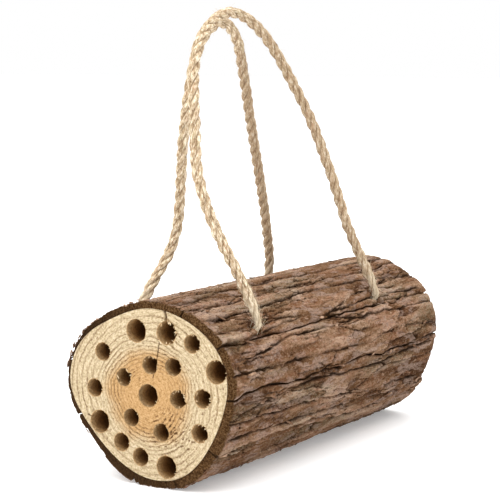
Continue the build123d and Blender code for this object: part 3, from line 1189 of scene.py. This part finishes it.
def bark_face(looks, grain, fibre, fine):
    """The outer face of the bark, worn by the weather: plates, rusty and mossy patches, painted light on
    its raised parts and top, and painted shade in its splits, grooves and low parts.
    """
    # The tone value carries painted light: lighter on the bark's raised parts and on the top of the log,
    # darker on its low parts and its far end.
    tone = looks.total((looks.value("tone"), 0.52), (fibre, 0.34), (fine, 0.24))
    patch = looks.noise(grain, (0.11, 0.035, 0.11), 3.0, 0.6)
    speck = looks.noise(grain, (0.7, 0.3, 0.7), 4.0, 0.75)
    pits = looks.noise(grain, (4.5, 2.2, 4.5), 3.0, 0.7)
    rosy = looks.noise(grain, (0.2, 0.07, 0.2), 2.0, 0.5)
    crumb = looks.noise(grain, (1.0, 0.55, 1.0), 4.0, 0.8)
    plate = looks.ramp(
        tone,
        (0.3, (0.085, 0.037, 0.014)), (0.46, (0.175, 0.089, 0.042)),
        (0.6, (0.29, 0.17, 0.098)), (0.8, (0.5, 0.345, 0.24)),
    )
    plate = looks.mix(looks.fit(rosy, 0.5, 0.6, 0.0, 0.6), plate, (0.4, 0.285, 0.225))
    rust = looks.ramp(
        tone,
        (0.3, (0.06, 0.02, 0.008)), (0.5, (0.23, 0.096, 0.045)), (0.72, (0.43, 0.24, 0.155)),
    )
    rusty = looks.times(looks.fit(speck, 0.4, 0.62), looks.fit(patch, 0.4, 0.58))
    color = looks.mix(looks.times(rusty, 0.8), plate, rust)
    grey = looks.ramp(
        tone,
        (0.3, (0.07, 0.055, 0.028)), (0.5, (0.2, 0.165, 0.1)), (0.75, (0.42, 0.36, 0.26)),
    )
    mossy = looks.times(looks.value("mossy"), looks.fit(speck, 0.4, 0.6))
    color = looks.mix(looks.times(mossy, 0.6), color, grey)
    # Crumbly speckle, which also drives the bump: dark specks in its low spots are painted shade, and light
    # specks on its high spots are painted highlight.
    color = looks.mix(looks.fit(crumb, 0.48, 0.37, 0.0, 0.65), color, (0.06, 0.024, 0.009))
    color = looks.mix(looks.fit(crumb, 0.54, 0.64, 0.0, 0.35), color, (0.58, 0.4, 0.28))
    # Painted shade: the grooves and splits, the low parts of the fine relief and small pits darken towards
    # near black.
    dark = looks.math("ADD", looks.value("groove_shade"), looks.fit(fine, 0.5, 0.32, 0.0, 0.3))
    dark = looks.math("ADD", dark, looks.fit(pits, 0.44, 0.34, 0.0, 0.55))
    color = looks.mix(looks.fit(dark, 0.14, 0.85, 0.0, 0.94), color, (0.026, 0.011, 0.003))
    looks.bump(looks.total((fibre, 1.0), (fine, 0.8), (crumb, 0.8)), 0.0011)
    return color


def bark_material():
    looks = Looks("bark", 0.9, 0.06)
    grain = looks.value("grain", "Vector")
    fibre = looks.noise(grain, (1.3, 0.12, 1.3), 5.0, 0.7)
    fine = looks.noise(grain, (2.2, 0.6, 2.2), 5.0, 0.7)
    color = bark_face(looks, grain, fibre, fine)
    torn = looks.ramp(fine, (0.3, (0.03, 0.013, 0.006)), (0.7, (0.18, 0.08, 0.038)))
    color = looks.mix(looks.times(looks.value("torn"), 0.85), color, torn)
    cut_grain = looks.noise(grain, (1.1, 1.1, 0.9), 5.0, 0.75)
    cut_color = looks.ramp(
        cut_grain,
        (0.38, (0.022, 0.007, 0.0015)), (0.5, (0.09, 0.043, 0.014)), (0.62, (0.2, 0.11, 0.05)),
    )
    # The cut edges darken towards the log's left side, where their torn value is high.
    darker_leftwards = looks.times(looks.value("torn"), 0.75)
    cut_color = looks.mix(darker_leftwards, cut_color, (0.035, 0.017, 0.007))
    looks.color(looks.mix(looks.value("cut"), color, cut_color))
    return looks


def wood_grain(looks, fine, streak):
    """Pale sapwood and warm heartwood, and the height of their grain."""
    mixed = looks.total((fine, 0.5), (streak, 0.5))
    broad = looks.noise(looks.place(), 55, 3.0)
    heart_edge = looks.math("ADD", looks.value("far"), looks.times(broad, 11.0))
    pale = looks.ramp(
        mixed,
        (0.4, (0.25, 0.185, 0.095)), (0.49, (0.46, 0.36, 0.22)), (0.59, (0.61, 0.5, 0.345)),
    )
    warm = looks.ramp(
        mixed,
        (0.4, (0.25, 0.14, 0.05)), (0.49, (0.41, 0.24, 0.1)), (0.6, (0.52, 0.335, 0.165)),
    )
    return looks.mix(looks.fit(heart_edge, 35.5, 25.5), pale, warm), mixed


def shaded_hole_wall(looks, fine):
    """The wall of a nest hole, darker further in as painted shade."""
    wall = looks.ramp(
        looks.value("hole"),
        (0.12, (0.5, 0.33, 0.165)), (0.35, (0.39, 0.225, 0.09)),
        (0.7, (0.27, 0.13, 0.04)), (1.0, (0.16, 0.066, 0.016)),
    )
    return looks.mix(looks.fit(fine, 0.6, 0.4, 0.0, 0.4), wall, (0.05, 0.024, 0.008))


def bare_side(looks):
    """The side of the wood where the bark has gone, worn by the weather."""
    weather = looks.noise(looks.place(), (420, 60, 420), 5.0, 0.75)
    return looks.ramp(
        weather,
        (0.38, (0.04, 0.018, 0.008)), (0.5, (0.12, 0.062, 0.032)), (0.62, (0.26, 0.16, 0.095)),
    )


def wood_material():
    looks = Looks("wood", 0.75, 0.12)
    join = looks.tree.nodes.new("ShaderNodeCombineXYZ")
    looks.put(join.inputs["X"], looks.value("far"))
    looks.put(join.inputs["Y"], looks.value("around"))
    polar_at = join.outputs["Vector"]
    fine = looks.noise(looks.place(), 800, 4.0, 0.7)
    streak = looks.noise(polar_at, (1.5, 0.3, 1.0), 4.0, 0.7)
    color, mixed = wood_grain(looks, fine, streak)
    phase = looks.math("FRACT", looks.value("ring"))
    line = looks.fit(looks.math("ABSOLUTE", looks.math("SUBTRACT", phase, 0.5)), 0.24, 0.05)
    broken = looks.fit(looks.noise(polar_at, (1.6, 0.9, 1.0), 4.0, 0.8), 0.47, 0.56)
    soft = looks.times(looks.value("rough"), looks.fit(streak, 0.4, 0.6, 0.2, 0.7))
    lines = looks.times(line, looks.times(broken, looks.value("rough")))
    color = looks.mix(soft, color, (0.33, 0.2, 0.09))
    color = looks.mix(looks.times(lines, 0.9), color, (0.2, 0.105, 0.04))
    # Saw tears are darkened as torn grain, and the drying cracks as painted shade.
    color = looks.mix(looks.times(looks.value("tear_and_crack_shade"), 0.88), color, (0.12, 0.05, 0.018))
    # Painted shade: the nest hole walls darken further in.
    color = looks.mix(looks.fit(looks.value("hole"), 0.02, 0.1), color, shaded_hole_wall(looks, fine))
    looks.color(looks.mix(looks.value("skin"), color, bare_side(looks)))
    looks.bump(looks.total((mixed, 1.0), (lines, -0.8)), 0.00045, 0.9)
    return looks


def rope_material():
    looks = Looks("jute", 0.88, 0.2)
    grain = looks.value("grain", "Vector")
    yarn = looks.noise(grain, (1.3, 0.22, 1.0), 4.0, 0.7)
    hair = looks.noise(grain, (3.4, 0.9, 1.0), 4.0, 0.8)
    tuft = looks.noise(grain, (0.45, 0.3, 1.0), 3.0, 0.6)
    tint = looks.noise(grain, (0.25, 0.12, 1.0), 3.0, 0.6)
    mixed = looks.total((yarn, 0.4), (hair, 0.3), (tuft, 0.3))
    color = looks.ramp(
        mixed,
        (0.42, (0.16, 0.095, 0.048)), (0.47, (0.38, 0.265, 0.155)),
        (0.52, (0.6, 0.475, 0.32)), (0.57, (0.9, 0.81, 0.65)),
    )
    color = looks.mix(looks.fit(tint, 0.54, 0.68, 0.0, 0.4), color, (0.42, 0.22, 0.12))
    color = looks.mix(looks.fit(tint, 0.45, 0.32, 0.0, 0.3), color, (0.36, 0.31, 0.16))
    color = looks.mix(looks.times(looks.value("brown"), 0.5), color, (0.3, 0.2, 0.12))
    color = looks.mix(looks.times(looks.value("pale"), 0.4), color, (0.78, 0.69, 0.52))
    # Painted shade in the creases between the strands, where the crest value is low.
    groove_shade = looks.fit(looks.value("crest"), 0.75, 0.0, 0.0, 0.8)
    looks.color(looks.mix(groove_shade, color, (0.25, 0.15, 0.075)))
    looks.bump(mixed, 0.0009)
    return looks


def mottled(name, roughness, specular, scale, detail, *stops):
    """A plain material whose colour varies with noise."""
    looks = Looks(name, roughness, specular)
    looks.color(looks.ramp(looks.noise(looks.place(), scale, *detail), *stops))
    return looks


def small_materials():
    """The materials of the splinters, loose bark, rope fibres and glue."""
    mottled(
        "splinter", 0.75, 0.25, 400, (2.0,),
        (0.35, (0.45, 0.3, 0.15)), (0.65, (0.75, 0.58, 0.36)),
    ).give(splinters)
    mottled(
        "bark_flake", 0.88, 0.2, 130, (4.0, 0.7),
        (0.3, (0.05, 0.022, 0.01)), (0.5, (0.19, 0.1, 0.055)), (0.7, (0.42, 0.28, 0.185)),
    ).give(flakes)
    mottled(
        "jute_fibre", 0.8, 0.25, 150, (2.0,),
        (0.35, (0.55, 0.4, 0.24)), (0.65, (0.85, 0.75, 0.57)),
    ).give(ropes[1], ropes[3])
    mottled(
        "glue", 0.4, 0.5, 300, (2.0,),
        (0.35, (0.56, 0.47, 0.3)), (0.65, (0.72, 0.64, 0.46)),
    ).give(frame["nodes"]["glue_plugs"])


bark_material().give(*bark)
wood_material().give(wood)
rope_material().give(ropes[0], ropes[2])
small_materials()

# ---------------------------------------------------------------- bodies and nodes

for piece, name in zip(bark, strip_names):
    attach(piece, "log")
    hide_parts(name)
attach(wood, "log")
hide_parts("log_core")
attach(splinters, "log")
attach(flakes, "log")

# ---------------------------------------------------------------- stage


def make_stage():
    mesh = bpy.data.meshes.new("floor")
    work = bmesh.new()
    bmesh.ops.create_grid(work, x_segments=1, y_segments=1, size=12)
    work.to_mesh(mesh)
    work.free()
    floor = bpy.data.objects.new("floor", mesh)
    bpy.context.collection.objects.link(floor)
    pale = Looks("floor", 0.9, 0.1)
    pale.color((0.86, 0.86, 0.86))
    pale.put(pale.shader.inputs["Emission Color"], (1.0, 1.0, 1.0))
    pale.put(pale.shader.inputs["Emission Strength"], 0.25)
    pale.give(floor)
    world = bpy.data.worlds.new("studio")
    world.use_nodes = True
    world.node_tree.nodes["Background"].inputs[0].default_value = (1, 1, 1, 1)
    world.node_tree.nodes["Background"].inputs[1].default_value = 1.0
    bpy.context.scene.world = world
    target = Vector((0, 0, 0.07))
    for name, at, size, power in (
        ("top", (0.1, -0.1, 2.0), 3.2, 72),
        ("key", (-0.3, -1.3, 1.1), 1.0, 8),
    ):
        lamp = bpy.data.objects.new(name, bpy.data.lights.new(name, "AREA"))
        lamp.data.size = size
        lamp.data.energy = power
        lamp.location = at
        lamp.rotation_euler = (target - lamp.location).to_track_quat("-Z", "Y").to_euler()
        bpy.context.collection.objects.link(lamp)


make_stage()
bpy.context.scene.view_settings.view_transform = "Standard"
